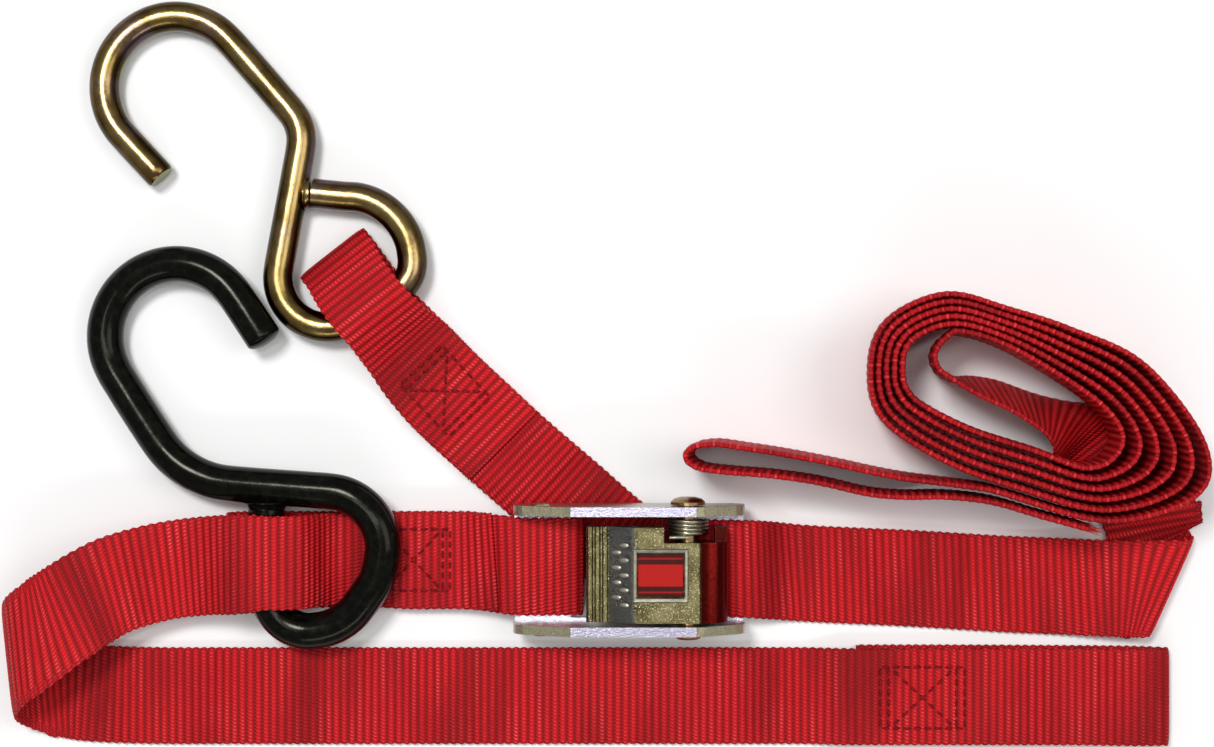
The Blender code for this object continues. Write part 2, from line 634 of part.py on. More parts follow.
def build():
    for old in list(bpy.data.objects):
        bpy.data.objects.remove(old, do_unlink=True)
    webbing = material("webbing", (0.62, 0.035, 0.03), 0.85)
    thread = material("thread", (0.75, 0.08, 0.06), 0.7)
    zinc = material("yellow_zinc", (0.55, 0.45, 0.16), 0.35, 1.0)
    steel = material("zinc_plated_steel", (0.72, 0.73, 0.75), 0.3, 1.0)
    cast = material("cast_lever", (0.6, 0.61, 0.63), 0.4, 1.0)
    red_inlay = material("red_inlay", (0.7, 0.05, 0.04), 0.45)
    vinyl = material("black_vinyl", (0.015, 0.015, 0.017), 0.35)
    bare = material("bare_wire", (0.35, 0.35, 0.36), 0.4, 1.0)

    buckle_frame(steel)
    pivot_rivet(steel)
    torsion_spring(steel)
    cam_lever(cast, red_inlay)

    gold = gold_places(4.5)
    add_part("gold_hook", wire_mesh(gold, WIRE_RADIUS, sides=14, dome=1.2), zinc, GOLD_AXIS_POINT, 50.0)
    add_part("gold_hook_weld", weld_lens(Vector((-77.1, 46.9, 5.3)), 0), zinc, GOLD_AXIS_POINT)
    black = black_places(4.5)
    add_part("black_hook_core", wire_mesh(black, WIRE_RADIUS, sides=12, dome=3.0), bare, smooth=50.0)
    add_part("black_hook_coating", coating_mesh(black), vinyl, smooth=50.0)
    add_part("black_hook_weld", weld_lens(Vector((-88.1, -34.7, 8.1)), 90), bare)

    add_part("main_strap", strap_mesh(main_strap_route()), webbing)
    add_part("anchor_strap", strap_mesh(anchor_strap_route()), webbing)
    add_part("soft_tie_strap", strap_mesh(soft_tie_route()), webbing)
    above_second = SECOND + WEB_THICK / 2 + 0.1
    above_third = THIRD + WEB_THICK / 2 + 0.1
    add_part("main_strap_stitching", box_stitch((-42.3, -4.6), -47, 18.6, 15.0, above_second), thread)
    add_part("anchor_stitching", box_stitch((-51.2, -48.6), 0, 17.0, 16.0, above_third), thread)
    add_part("soft_tie_stitching", box_stitch((82.5, -84.8), 0, 22.0, 16.0, above_second), thread)


build()
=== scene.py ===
"""Looks of the cam buckle tie down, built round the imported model: woven webbing, plated and coated wire
hooks, the cam buckle's finishes, stitches, floor, light and camera.

Routes are in millimetres, as drawn, and put() turns them into the frame's metres."""

import math
import random

import bmesh
import bpy
import numpy as np
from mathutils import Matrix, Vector


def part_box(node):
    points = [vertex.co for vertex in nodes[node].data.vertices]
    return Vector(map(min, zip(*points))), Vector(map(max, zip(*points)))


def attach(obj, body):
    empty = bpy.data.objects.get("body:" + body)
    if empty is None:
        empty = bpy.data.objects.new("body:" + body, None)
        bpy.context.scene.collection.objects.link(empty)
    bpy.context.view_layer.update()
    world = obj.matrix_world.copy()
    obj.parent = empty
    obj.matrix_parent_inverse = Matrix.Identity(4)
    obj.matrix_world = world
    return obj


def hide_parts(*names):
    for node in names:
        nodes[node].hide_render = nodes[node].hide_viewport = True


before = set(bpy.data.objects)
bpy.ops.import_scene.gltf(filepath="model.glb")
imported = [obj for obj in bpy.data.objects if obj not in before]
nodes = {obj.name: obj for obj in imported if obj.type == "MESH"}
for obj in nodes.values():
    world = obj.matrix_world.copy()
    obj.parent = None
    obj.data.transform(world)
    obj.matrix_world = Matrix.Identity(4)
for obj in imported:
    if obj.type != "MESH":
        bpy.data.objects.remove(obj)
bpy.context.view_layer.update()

MM = 0.001

CENTRE = Vector((0.05, -0.18, 0.0))  # the point of the drawing that stands at the origin

# Webbing
WEB_WIDTH = 25.4
WEB_THICK = 1.5
LAYER = 1.8  # from one layer of webbing to the next
ON_TABLE = WEB_THICK / 2
SECOND = ON_TABLE + LAYER
THIRD = SECOND + LAYER

# Buckle
BUCKLE_Y = -50.2
INNER_HALF = 13.95  # half of the clear width between the walls
BASE_TOP = 6.5
PIVOT_X, PIVOT_Z = 20.7, 14.5
LEVER_HALF = 12.1
LEVER_Y = -51.15

# Hooks
WIRE_RADIUS = 3.9
COATING_RADIUS = 4.7
GOLD_AXIS_POINT = Vector((-61.0, 16.8, 6.0))
GOLD_AXIS = Vector((0.863, 0.505, 0.0)).normalized()


# ---------------------------------------------------------------- chains and routes

def arc(centre, radius, start, end, steps):
    """Points on an arc, with angles in degrees."""
    angles = [math.radians(start + (end - start) * i / steps) for i in range(steps + 1)]
    return [(centre[0] + radius * math.cos(a), centre[1] + radius * math.sin(a)) for a in angles]


def smooth_chain(points, spacing, closed=False):
    """Points on a smooth curve through the given ones, at most the spacing apart. Each point is a
    tuple of numbers, the first three a place, and whatever follows is carried along."""
    rows = [Vector(p) for p in points]
    count = len(rows)

    def at(i):
        return rows[i % count] if closed else rows[min(max(i, 0), count - 1)]

    def gap(i):
        return max((at(i + 1).to_3d() - at(i).to_3d()).length, 1e-6)

    def slope(i):
        if not closed and i in (0, count - 1):
            return (at(i + 1) - at(i)) / gap(i) if i == 0 else (at(i) - at(i - 1)) / gap(i - 1)
        return (at(i + 1) - at(i - 1)) / (gap(i) + gap(i - 1))

    made = []
    for i in range(count if closed else count - 1):
        length = gap(i)
        steps = max(1, math.ceil(length / spacing))
        for step in range(steps):
            t = step / steps
            made.append(
                at(i) * (2 * t**3 - 3 * t**2 + 1)
                + slope(i) * length * (t**3 - 2 * t**2 + t)
                + at(i + 1) * (3 * t**2 - 2 * t**3)
                + slope(i + 1) * length * (t**3 - t**2)
            )
    if not closed:
        made.append(rows[-1])
    return made


def directions(places):
    """The heading at each place of an open chain."""
    last = len(places) - 1
    return [(places[min(i + 1, last)] - places[max(i - 1, 0)]).normalized() for i in range(last + 1)]


def domed(places, radius, dome, steps):
    """The places, begun with a dome of the given length, and the radius at each."""
    heading = (places[1] - places[0]).normalized()
    angles = [math.pi / 2 * (k + 0.35) / (steps + 0.35) for k in range(steps)]
    start = [places[0] - heading * dome * math.cos(angle) for angle in angles]
    radii = [radius * math.sin(angle) for angle in angles]
    return start + list(places), radii + [radius] * len(places)


def level(azimuth):
    """A level direction across the webbing, from its compass angle in degrees."""
    return (math.cos(math.radians(azimuth)), math.sin(math.radians(azimuth)), 0.0)


def flat(x, y, z, azimuth, width=WEB_WIDTH):
    """A station whose webbing is level from edge to edge."""
    return (x, y, z, *level(azimuth), width)


def tilted(x, y, azimuth, tip):
    """A station whose webbing is tipped from level towards standing on edge, with its edge on the table."""
    lean = math.radians(tip)
    east, north, _ = level(azimuth)
    height = 0.25 + WEB_WIDTH / 2 * math.sin(lean) + WEB_THICK / 2 * math.cos(lean)
    return (x, y, height, east * math.cos(lean), north * math.cos(lean), -math.sin(lean), WEB_WIDTH)


def fold(centre, axis, out, radius, advance=0.0, width=WEB_WIDTH, steps=8, downward=True):
    """Webbing rolled half round a level axis, from above it to below it or the other way. With an
    advance it also moves along the axis, as a fold askew to the webbing does, and every station
    lies along the axis, so that the webbing keeps to the roll."""
    centre = Vector(centre)
    axis = Vector(axis).normalized()
    out = Vector(out).normalized()
    made = []
    for k in range(steps + 1):
        angle = math.pi * (0.5 - k / steps)
        place = centre + out * radius * math.cos(angle) + Vector((0.0, 0.0, radius * math.sin(angle)))
        place += axis * advance * (k / steps - 0.5)
        made.append((*place, *axis, width))
    return made if downward else made[::-1]


# ---------------------------------------------------------------- webbing routes

COIL_LIFT = 2.1  # the coil rides over the strap beneath its right half
COIL_RISE_X, COIL_RISE_RUN = 70.0, 25.0  # where it starts to rise, and how far along X it takes
COIL_CLEAR = 0.2  # between the table and the coil's lower edge
COIL_LEAN = Vector((0.12, 0.0, -0.993))  # the coil stands on edge and leans a little to the left
COIL_START, COIL_TURNS = 0.17, 5.78  # the turns at which it begins and ends
COIL_STEPS = 48  # for each turn, and then thinned to the spacing
COIL_SPACING = 2.75
INNER_TURN, OUTER_TURN = 0.0, 6.0
# The coil's centre line at its first and its sixth turn, clockwise from the left end
INNER_LOOP = (
    (77.5, 0.6), (79.1, 6.9), (88.0, 10.3), (99.2, 7.5), (112.1, 0.2), (123.6, -8.2),
    (127.9, -14.3), (126.2, -19.2), (120.6, -21.9), (108.7, -17.5), (92.8, -12.1), (79.9, -5.0),
)
OUTER_LOOP = (
    (65.6, 2.5), (70.6, 14.6), (85.8, 21.4), (102.2, 17.3), (118.4, 12.2), (136.8, 3.3),
    (152.3, -17.2), (150.5, -31.0), (128.0, -37.6), (103.8, -31.7), (84.8, -24.4), (68.5, -12.5),
)


def coil_height(x):
    """Height of the coil's middle: it lies on the table at the left and on webbing at the right."""
    rise = min(max((x - COIL_RISE_X) / COIL_RISE_RUN, 0.0), 1.0)
    return WEB_WIDTH / 2 + COIL_CLEAR + COIL_LIFT * rise * rise * (3 - 2 * rise)


def on_edge(x, y):
    """A station whose webbing stands on edge, as in the coil."""
    return (x, y, coil_height(x), *COIL_LEAN, WEB_WIDTH)


def coil_stations():
    """The coil's turns, from the inside out, each between the inner and the outer loop."""
    inner = smooth_chain([(*p, 0.0) for p in INNER_LOOP], spacing=1e6, closed=True)
    outer = smooth_chain([(*p, 0.0) for p in OUTER_LOOP], spacing=1e6, closed=True)
    parts = len(inner)

    def loop_place(points, share):
        """The place on a closed loop, share of the way round."""
        step = share * parts
        i = int(step) % parts
        t = step - int(step)
        a, b, c, d = (points[(i + k) % parts] for k in (-1, 0, 1, 2))
        return 0.5 * (2 * b + (c - a) * t + (2 * a - 5 * b + 4 * c - d) * t * t
                      + (3 * b - a - 3 * c + d) * t**3)

    made = []
    last = None
    for k in range(int((COIL_TURNS - COIL_START) * COIL_STEPS) + 1):
        turn = COIL_START + k / COIL_STEPS
        share = turn % 1.0
        mix = (turn - INNER_TURN) / (OUTER_TURN - INNER_TURN)
        place = loop_place(inner, share) * (1 - mix) + loop_place(outer, share) * mix
        if last is None or (place - last).length > COIL_SPACING:
            made.append(on_edge(place.x, place.y))
            last = place
    return made


def main_strap_route():
    upper = [
        flat(-27.2, -18.9, SECOND, 45), flat(-34.0, -12.4, SECOND, 45),
        flat(-42.8, -4.3, SECOND, 46), flat(-49.9, 3.6, SECOND, 45, 24.5),
        flat(-52.8, 7.2, 5.0, 42, 23.0), flat(-55.7, 10.6, 9.4, 39, 21.5),
        flat(-58.4, 13.9, 12.2, 38, 20.8), flat(-61.2, 17.1, 12.9, 38, 20.8),
        flat(-65.0, 21.8, 12.0, 38, 20.8),
    ]
    gold_fold = fold((-69.0, 28.1, ON_TABLE + 4.0), level(38), level(128), 4.0, width=20.8)
    lower = [
        flat(-61.0, 17.4, ON_TABLE, 38, 20.8), flat(-53.5, 8.0, ON_TABLE, 42, 23.0),
        flat(-42.8, -4.3, ON_TABLE, 46), flat(-27.2, -18.9, ON_TABLE, 46),
        flat(-9.4, -34.3, ON_TABLE, 49), flat(-1.0, -41.7, ON_TABLE, 50),
    ]
    up_through_window = [
        flat(4.5, -45.9, ON_TABLE, 57), flat(8.7, -48.4, 1.3, 67), flat(12.2, -49.8, 3.2, 78),
        flat(15.2, -50.4, 5.6, 86), flat(18.3, -50.5, 7.4, 90), flat(22.0, -50.5, 7.65, 90),
        flat(34.0, -50.6, 7.65, 91), flat(38.5, -50.9, 6.6, 92), flat(43.5, -51.5, 3.4, 93),
        flat(49.0, -52.2, 1.1, 94), flat(56.0, -52.7, ON_TABLE, 92),
    ]
    flat_run = [
        flat(80.0, -53.8, ON_TABLE, 92), flat(103.0, -55.2, ON_TABLE, 92),
        flat(118.0, -55.8, 1.2, 92), flat(132.0, -56.1, 4.2, 91),
    ]
    under = fold((145.0, -54.3, ON_TABLE + 2.6), (0.41, 0.913, 0), (0.913, -0.41, 0), 2.6, 3.7)
    into_coil = [
        flat(143.5, -40.0, ON_TABLE, 10), flat(139.2, -30.0, ON_TABLE, 25),
        flat(133.0, -20.5, ON_TABLE, 34), tilted(128.0, -17.0, 38, 4), tilted(124.6, -15.6, 40, 18),
        tilted(121.6, -14.6, 42, 36), tilted(118.4, -13.4, 46, 52), tilted(114.6, -11.7, 56, 63),
        tilted(110.0, -9.6, 72, 69), tilted(101.5, -5.6, 88, 73), tilted(94.0, -3.3, 80, 79),
    ]
    turn_back = [
        on_edge(87.6, -1.2), on_edge(84.6, 0.9), on_edge(83.4, 4.2), on_edge(84.6, 7.4),
    ]
    coil = coil_stations()
    leaving = [
        on_edge(93.5, -28.5), on_edge(84.0, -27.3), on_edge(76.0, -26.3), on_edge(68.0, -24.8),
        on_edge(58.0, -22.6), on_edge(45.4, -20.2), on_edge(35.0, -18.6), on_edge(28.0, -17.7),
        on_edge(23.4, -18.3),
    ]
    hairpin = [
        on_edge(21.2, -19.9), on_edge(21.4, -21.9), on_edge(23.9, -23.6),
    ]
    returning = [
        on_edge(30.0, -24.6), on_edge(42.0, -25.6), on_edge(54.0, -27.3), on_edge(67.5, -30.3),
        on_edge(76.0, -31.0), on_edge(86.2, -30.9), on_edge(97.7, -32.2), on_edge(110.0, -35.7),
        on_edge(122.0, -39.0),
    ]
    through_buckle = smooth_chain(upper + gold_fold + lower + up_through_window + flat_run + under, 6.0)
    to_coil = smooth_chain(under[-1:] + into_coil + turn_back + coil[:1], 4.0)
    end = smooth_chain(coil[-1:] + leaving + hairpin + returning, 5.0)
    return through_buckle + to_coil[1:] + coil[1:] + end[1:]


ANCHOR_Y = -48.8
# The anchor strap's rise over the black hook's leg, seen from the side
ANCHOR_RISE = (
    (-67.5, SECOND), (-71.5, 2.75), (-74.7, 5.2), (-77.5, 9.6), (-80.0, 12.9), (-84.0, 14.05),
    (-88.0, 14.05),
)


def anchor_strap_route():
    y = ANCHOR_Y
    bar_y = BUCKLE_Y + 0.2
    bar = fold((-8.9, bar_y, 5.325), (0, 1, 0), (1, 0, 0), 2.325, downward=False)
    leg = fold((-91.5, y, 7.4), (0, 1, 0), (-1, 0, 0), 6.65)
    stations = [
        flat(-40.5, y, ON_TABLE, 90), flat(-37.0, y, ON_TABLE, 90), flat(-33.0, y - 0.4, 1.9, 92),
        flat(-29.5, y - 0.8, 3.0, 92), flat(-24.0, bar_y, 3.0, 91),
        *bar,
        flat(-23.5, bar_y, 7.65, 91), flat(-27.5, y - 0.8, 7.0, 92), flat(-32.5, y - 0.4, 4.0, 92),
        flat(-37.5, y, SECOND, 90), flat(-52.0, y, SECOND, 90),
        *[flat(x, y + 0.3, z, 90, 23.9) for x, z in ANCHOR_RISE],
        flat(-91.0, y, 14.05, 90),
        *leg,
        flat(-82.0, y, ON_TABLE, 90), flat(-60.0, y, ON_TABLE, 90), flat(-43.0, y, ON_TABLE, 90),
    ]
    return smooth_chain(stations, 6.0)


def lifted(profile, by):
    """A profile in X and Z moved square to itself, up and outward."""
    made = []
    last = len(profile) - 1
    for i, (x, z) in enumerate(profile):
        before, after = profile[max(i - 1, 0)], profile[min(i + 1, last)]
        heading = Vector((after[0] - before[0], after[1] - before[1])).normalized()
        made.append((x + heading.y * by, z - heading.x * by))
    return made


def soft_tie_route():
    y = ANCHOR_Y
    left_roll = fold((-146.13, -74.6, ON_TABLE + 7.95), (-0.106, 0.994, 0), (-0.994, -0.106, 0), 7.95, -14.0)
    end_loop = fold((145.0, -84.5, ON_TABLE + 1.6), (0, 1, 0), (1, 0, 0), 1.6, steps=6)
    run_y = -84.6
    stations = [
        flat(-29.2, y, 8.3, 94), flat(-33.0, y, 6.6, 93), flat(-38.0, y, 4.7, 91),
        flat(-42.0, y, THIRD, 90), flat(-52.0, y, THIRD, 90),
        *[flat(x, y + 0.3, z, 90, 23.9) for x, z in lifted(ANCHOR_RISE, LAYER + 0.1)],
        flat(-94.5, y, 15.7, 90),
        flat(-101.5, -49.3, 12.2, 92), flat(-109.0, -50.2, 9.6, 95), flat(-117.0, -51.6, 9.6, 99),
        flat(-127.0, -54.6, 12.4, 105), flat(-137.0, -60.5, 15.6, 114),
        *left_roll,
        flat(-138.0, -83.6, ON_TABLE, 87), flat(-122.0, -84.5, ON_TABLE, 90),
        flat(-100.0, run_y, ON_TABLE, 90), flat(20.0, run_y, ON_TABLE, 90),
        flat(52.0, run_y, ON_TABLE, 90), flat(57.0, run_y, 1.6, 90), flat(61.5, run_y, SECOND, 90),
        flat(66.0, run_y, SECOND, 90),
        flat(95.0, run_y, SECOND, 90), flat(125.0, run_y, 2.8, 90), flat(137.0, run_y, 3.7, 90),
        *end_loop,
        flat(137.0, -84.2, ON_TABLE, 90), flat(93.0, -83.9, ON_TABLE, 90),
        flat(65.0, -83.9, ON_TABLE, 90),
    ]
    return smooth_chain(stations, 8.0)


# Each hook is one wire, given by its tip, its bends as (centre x, centre y, radius, from, to) with
# the angles in degrees, and its end, which is welded to its own shank.
GOLD_TIP, GOLD_END = (-116.3, 51.4), (-76.6, 46.9)
GOLD_BENDS = (
    (-112.5, 74.6, 18.6, 215, 41),  # bowl
    (-91.6, 60.6, 12.0, 41, -11),  # top of the shank
    (-72.6, 25.0, 13.0, 169, 299),  # eye, left
    (-58.7, 28.6, 8.1, -60, 0),  # eye, right
    (-67.7, 29.0, 17.1, 4, 92),  # eye, back to the shank
)
BLACK_TIP, BLACK_END = (-89.9, 10.6), (-88.1, -35.2)
BLACK_BENDS = (
    (-112.0, 9.7, 18.8, 37, 210),  # bowl
    (-96.0, -3.6, 25.0, 212, 264),  # foot of the shank
    (-72.5, -45.2, 14.8, 86, 0),  # eye, top
    (-84.6, -44.1, 26.8, -6, -20),  # eye, right
    (-77.05, -50.35, 16.2, -33, -87),  # eye, bottom
    (-77.1, -55.8, 10.8, -95, -176),  # then the leg under the webbing
)
GOLD_SLOPE = 0.0218  # the gold hook slopes down from the webbing to its bowl
BLACK_SLOPE = 0.08  # the black hook lies over the webbing at its eye
BLACK_LEFT = -130.8


def bent_wire(tip, bends, end, step=13.0):
    """Points along a wire of straight runs and bends."""
    made = [tip]
    for x, y, radius, start, stop in bends:
        steps = max(3, round(abs(stop - start) / step))
        made += arc((x, y), radius, start, stop, steps)
    return made + [end]


def gold_places(spacing):
    out = Vector((-GOLD_AXIS.y, GOLD_AXIS.x, 0.0))
    made = []
    for x, y in bent_wire(GOLD_TIP, GOLD_BENDS, GOLD_END):
        reach = (Vector((x, y, 0.0)) - GOLD_AXIS_POINT).dot(out)
        made.append((x, y, GOLD_AXIS_POINT.z - GOLD_SLOPE * max(reach, 0.0)))
    return smooth_chain(made, spacing)


def black_places(spacing):
    points = bent_wire(BLACK_TIP, BLACK_BENDS, BLACK_END)
    made = [(x, y, COATING_RADIUS + BLACK_SLOPE * (x - BLACK_LEFT)) for x, y in points]
    return smooth_chain(made, spacing)


SPRING_WIRE = 0.57  # radius
SPRING_STEPS = 64  # along its turns


def spring_places():
    """Four turns and a half round the rivet beside the far wall, and a leg to either side."""
    radius, start, sweep = 4.7, math.radians(-100), math.radians(4 * 360 + 170)
    start_y, end_y = BUCKLE_Y + INNER_HALF - 0.9, BUCKLE_Y + INNER_HALF - 5.2
    turn = []
    for k in range(SPRING_STEPS + 1):
        share = k / SPRING_STEPS
        angle = start - sweep * share
        y = start_y + (end_y - start_y) * share
        turn.append((PIVOT_X + radius * math.cos(angle), y, PIVOT_Z + radius * math.sin(angle)))
    high_leg = (turn[-1][0] - 4.9, end_y - 0.1, turn[-1][2] + 0.1)
    low_legs = [(PIVOT_X - 9.0, start_y, BASE_TOP + 0.9), (PIVOT_X - 4.0, start_y, BASE_TOP + 1.9)]
    return low_legs + turn + [high_leg]


# ---------------------------------------------------------------- mesh helpers

SHARP = math.radians(50)  # edges sharper than this aren't smoothed


def put(points):
    """Points as drawn, in the frame's metres."""
    return (np.asarray(points, float) - np.array(CENTRE)) * MM


def new_piece(name, points, faces, finish, body, smooth=True, uv=None):
    mesh = bpy.data.meshes.new(name)
    mesh.from_pydata([tuple(p) for p in points], [], [tuple(f) for f in faces])
    if uv is not None:
        layer = mesh.uv_layers.new(name="UVMap")
        corners = np.empty(len(mesh.loops), np.int32)
        mesh.loops.foreach_get("vertex_index", corners)
        layer.data.foreach_set("uv", np.asarray(uv, np.float32)[corners].reshape(-1))
    mesh.polygons.foreach_set("use_smooth", [smooth] * len(mesh.polygons))
    mesh.materials.append(finish)
    piece = bpy.data.objects.new(name, mesh)
    bpy.context.scene.collection.objects.link(piece)
    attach(piece, body)
    return piece


def ring_faces(rings, sides, first=0):
    """Quads between rings of vertices, numbered ring by ring from the first."""
    faces = []
    for r in range(rings - 1):
        low = first + r * sides
        high = low + sides
        for k in range(sides):
            after = (k + 1) % sides
            faces.append((low + k, low + after, high + after, high + k))
    return faces


def rod_faces(rings, sides, first=0):
    """As ring_faces, with a flat face at either end."""
    last = first + (rings - 1) * sides
    ends = [tuple(range(first, first + sides))[::-1], tuple(range(last, last + sides))]
    return ring_faces(rings, sides, first) + ends


def circle(sides):
    """The angles of a ring of vertices."""
    return [2 * math.pi * s / sides for s in range(sides)]


def facing_out(piece):
    """Turns the piece's faces outward."""
    made = bmesh.new()
    made.from_mesh(piece.data)
    if made.calc_volume(signed=True) < 0.0:
        bmesh.ops.reverse_faces(made, faces=made.faces)
    made.to_mesh(piece.data)
    made.free()


def tube(name, places, radii, finish, body, sides):
    """A round wire along places as drawn, with flat ends."""
    places = [Vector(p) for p in places]
    points = []
    headings = directions(places)
    normal = headings[0].orthogonal().normalized()
    for place, heading, radius in zip(places, headings, radii):
        normal = (normal - heading * normal.dot(heading)).normalized()
        other = heading.cross(normal)
        for angle in circle(sides):
            offset = normal * math.cos(angle) + other * math.sin(angle)
            points.append(tuple(place + offset * radius))
    piece = new_piece(name, put(points), rod_faces(len(places), sides), finish, body)
    piece.data.set_sharp_from_angle(angle=SHARP)
    facing_out(piece)
    return piece


# ---------------------------------------------------------------- materials

BLACK, WHITE = (0.0, 0.0, 0.0), (1.0, 1.0, 1.0)


class Finish:
    """A material whose nodes are added one at a time."""

    def __init__(self, name, colour, roughness, metallic=0.0):
        self.material = bpy.data.materials.new(name)
        self.material.use_nodes = True
        self.tree = self.material.node_tree
        self.shader = self.tree.nodes["Principled BSDF"]
        self.shader.inputs["Base Color"].default_value = (*colour, 1.0)
        self.shader.inputs["Roughness"].default_value = roughness
        self.shader.inputs["Metallic"].default_value = metallic

    def node(self, kind, **settings):
        made = self.tree.nodes.new(kind)
        for key, value in settings.items():
            setattr(made, key, value)
        return made

    def link(self, out, into):
        self.tree.links.new(out, into)

    def maths(self, operation, *values):
        made = self.node("ShaderNodeMath", operation=operation)
        for socket, value in zip(made.inputs, values):
            if isinstance(value, (int, float)):
                socket.default_value = value
            else:
                self.link(value, socket)
        return made.outputs[0]

    def place(self):
        return self.node("ShaderNodeTexCoord").outputs["Object"]

    def facing(self):
        """The surface's direction, in the piece's own frame."""
        return self.node("ShaderNodeTexCoord").outputs["Normal"]

    def axes(self, vector):
        """The three components of a vector."""
        made = self.node("ShaderNodeSeparateXYZ")
        self.link(vector, made.inputs["Vector"])
        return made.outputs

    def scaled(self, vector, scale):
        made = self.node("ShaderNodeMapping")
        made.inputs["Scale"].default_value = scale
        self.link(vector, made.inputs["Vector"])
        return made.outputs["Vector"]

    def noise(self, scale, detail=3.0, at=None, roughness=0.5):
        made = self.node("ShaderNodeTexNoise")
        made.inputs["Scale"].default_value = scale
        made.inputs["Detail"].default_value = detail
        made.inputs["Roughness"].default_value = roughness
        self.link(at if at is not None else self.place(), made.inputs["Vector"])
        return made.outputs["Fac"]

    def ramp(self, value, stops):
        made = self.node("ShaderNodeValToRGB")
        steps = made.color_ramp.elements
        while len(steps) < len(stops):
            steps.new(0.5)
        for step, (position, colour) in zip(steps, stops):
            step.position = position
            step.color = (*colour, 1.0)
        self.link(value, made.inputs["Fac"])
        return made.outputs["Color"]

    def mask(self, value, low, high):
        """0 up to the low value, and 1 from the high one."""
        return self.ramp(value, ((low, BLACK), (high, WHITE)))

    def wander(self, value, noise, reach):
        """The value, moved up and down by the noise."""
        return self.maths("ADD", value, self.maths("MULTIPLY", self.maths("SUBTRACT", noise, 0.5), reach))

    def mix(self, share, first, second):
        made = self.node("ShaderNodeMix", data_type="RGBA")
        for name, value in (("Factor", share), ("A", first), ("B", second)):
            socket = next(s for s in made.inputs if s.name == name and s.enabled)
            if isinstance(value, (int, float)):
                socket.default_value = value
            elif isinstance(value, tuple):
                socket.default_value = (*value, 1.0)
            else:
                self.link(value, socket)
        return next(s for s in made.outputs if s.enabled)

    def tinted(self, share, strength, first, second):
        """As mix, with the share scaled by the strength."""
        return self.mix(self.maths("MULTIPLY", share, strength), first, second)

    def specular(self, level):
        self.shader.inputs["Specular IOR Level"].default_value = level

    def colour(self, value):
        self.link(value, self.shader.inputs["Base Color"])

    def rough(self, value, low, high):
        span = self.node("ShaderNodeMapRange")
        span.inputs["To Min"].default_value = low
        span.inputs["To Max"].default_value = high
        self.link(value, span.inputs["Value"])
        self.link(span.outputs["Result"], self.shader.inputs["Roughness"])

    def bump(self, height, distance, strength=1.0):
        made = self.node("ShaderNodeBump")
        made.inputs["Distance"].default_value = distance
        made.inputs["Strength"].default_value = strength
        self.link(height, made.inputs["Height"])
        self.link(made.outputs["Normal"], self.shader.inputs["Normal"])


RIB = 2.05  # webbing ribs run across it, this far apart
BEAD = 0.95  # and each rib shows the yarns that cross it, this far apart
SELVEDGE = 0.7  # the woven edge, where the ribs' yarn turns back


def webbing_finish():
    """Woven polyester: ribs across the strap, each a row of beads of yarn. u is the length and v the
    width, in millimetres."""
    made = Finish("webbing", (0.5, 0.008, 0.012), 0.6)
    made.specular(0.16)
    uv = made.node("ShaderNodeUVMap", uv_map="UVMap").outputs["UV"]
    along, across, _ = made.axes(uv)

    def wave(value, pitch):
        """1 at each pitch, and 0 halfway."""
        turn = made.maths("MULTIPLY", value, 2 * math.pi / pitch)
        return made.maths("MULTIPLY_ADD", made.maths("COSINE", turn), 0.5, 0.5)

    def slow(along_scale, across_scale, detail=2.0):
        """Noise that changes slowly over the strap."""
        return made.noise(1.0, detail, at=made.scaled(uv, (along_scale, across_scale, 1.0)))

    rib = wave(along, RIB)
    ribs = made.maths("DIVIDE", along, RIB)
    row = made.maths("FLOOR", made.maths("ADD", ribs, 0.5))
    lean = made.maths("MULTIPLY", made.maths("SUBTRACT", ribs, row), 0.5)
    shift = made.maths("ADD", made.maths("MULTIPLY", row, BEAD * 0.43), lean)
    yarn = wave(made.maths("ADD", across, shift), BEAD)
    bead = made.maths("MULTIPLY", rib, yarn)
    fibre = made.noise(420.0, 4.0)

    # Painted shade: the webbing is darker between the ribs, and between the yarn turns at the selvedge, where
    # the grooves would be shaded.
    base = made.ramp(rib, (
        (0.0, (0.22, 0.0025, 0.004)), (0.5, (0.58, 0.006, 0.010)), (1.0, (0.74, 0.009, 0.014)),
    ))
    turns = made.ramp(wave(along, RIB / 2), ((0.0, (0.24, 0.003, 0.006)), (1.0, (0.56, 0.009, 0.013))))
    at_edge = made.maths("GREATER_THAN", made.maths("ABSOLUTE", across), WEB_WIDTH / 2 - SELVEDGE)
    base = made.tinted(at_edge, 0.8, base, turns)
    # Painted highlights: each bead glints, and in some rows along the strap the beads shine brighter, except
    # at the selvedge.
    glint = made.maths("MULTIPLY", made.maths("POWER", bead, 2.0), made.maths("MULTIPLY", fibre, 1.5))
    red = made.mix(made.maths("MINIMUM", glint, 1.0), base, (1.0, 0.06, 0.07))
    sparkle_rows = made.mask(slow(0.42, 0.03), 0.52, 0.64)
    lit = made.maths("MULTIPLY", made.maths("POWER", bead, 3.0), sparkle_rows)
    lit = made.maths("MULTIPLY", lit, made.maths("SUBTRACT", 1.0, at_edge))
    red = made.tinted(lit, 0.75, red, (1.0, 0.20, 0.20))
    # Painted shade: slow dark bands along the strap, standing in for the shade on its gentle waves.
    red = made.tinted(made.mask(slow(0.05, 0.012), 0.47, 0.64), 0.6, red, (0.16, 0.002, 0.004))
    made.colour(made.tinted(made.noise(24.0, 2.0), 0.35, red, (0.26, 0.004, 0.008)))

    height = made.maths("ADD", made.maths("MULTIPLY", bead, 0.8), made.maths("MULTIPLY", yarn, 0.25))
    height = made.maths("ADD", height, made.maths("MULTIPLY", slow(0.055, 0.012, 1.5), 16.0))
    made.bump(made.maths("ADD", height, made.maths("MULTIPLY", fibre, 0.15)), 0.00032)
    made.rough(fibre, 0.45, 0.7)
    return made.material


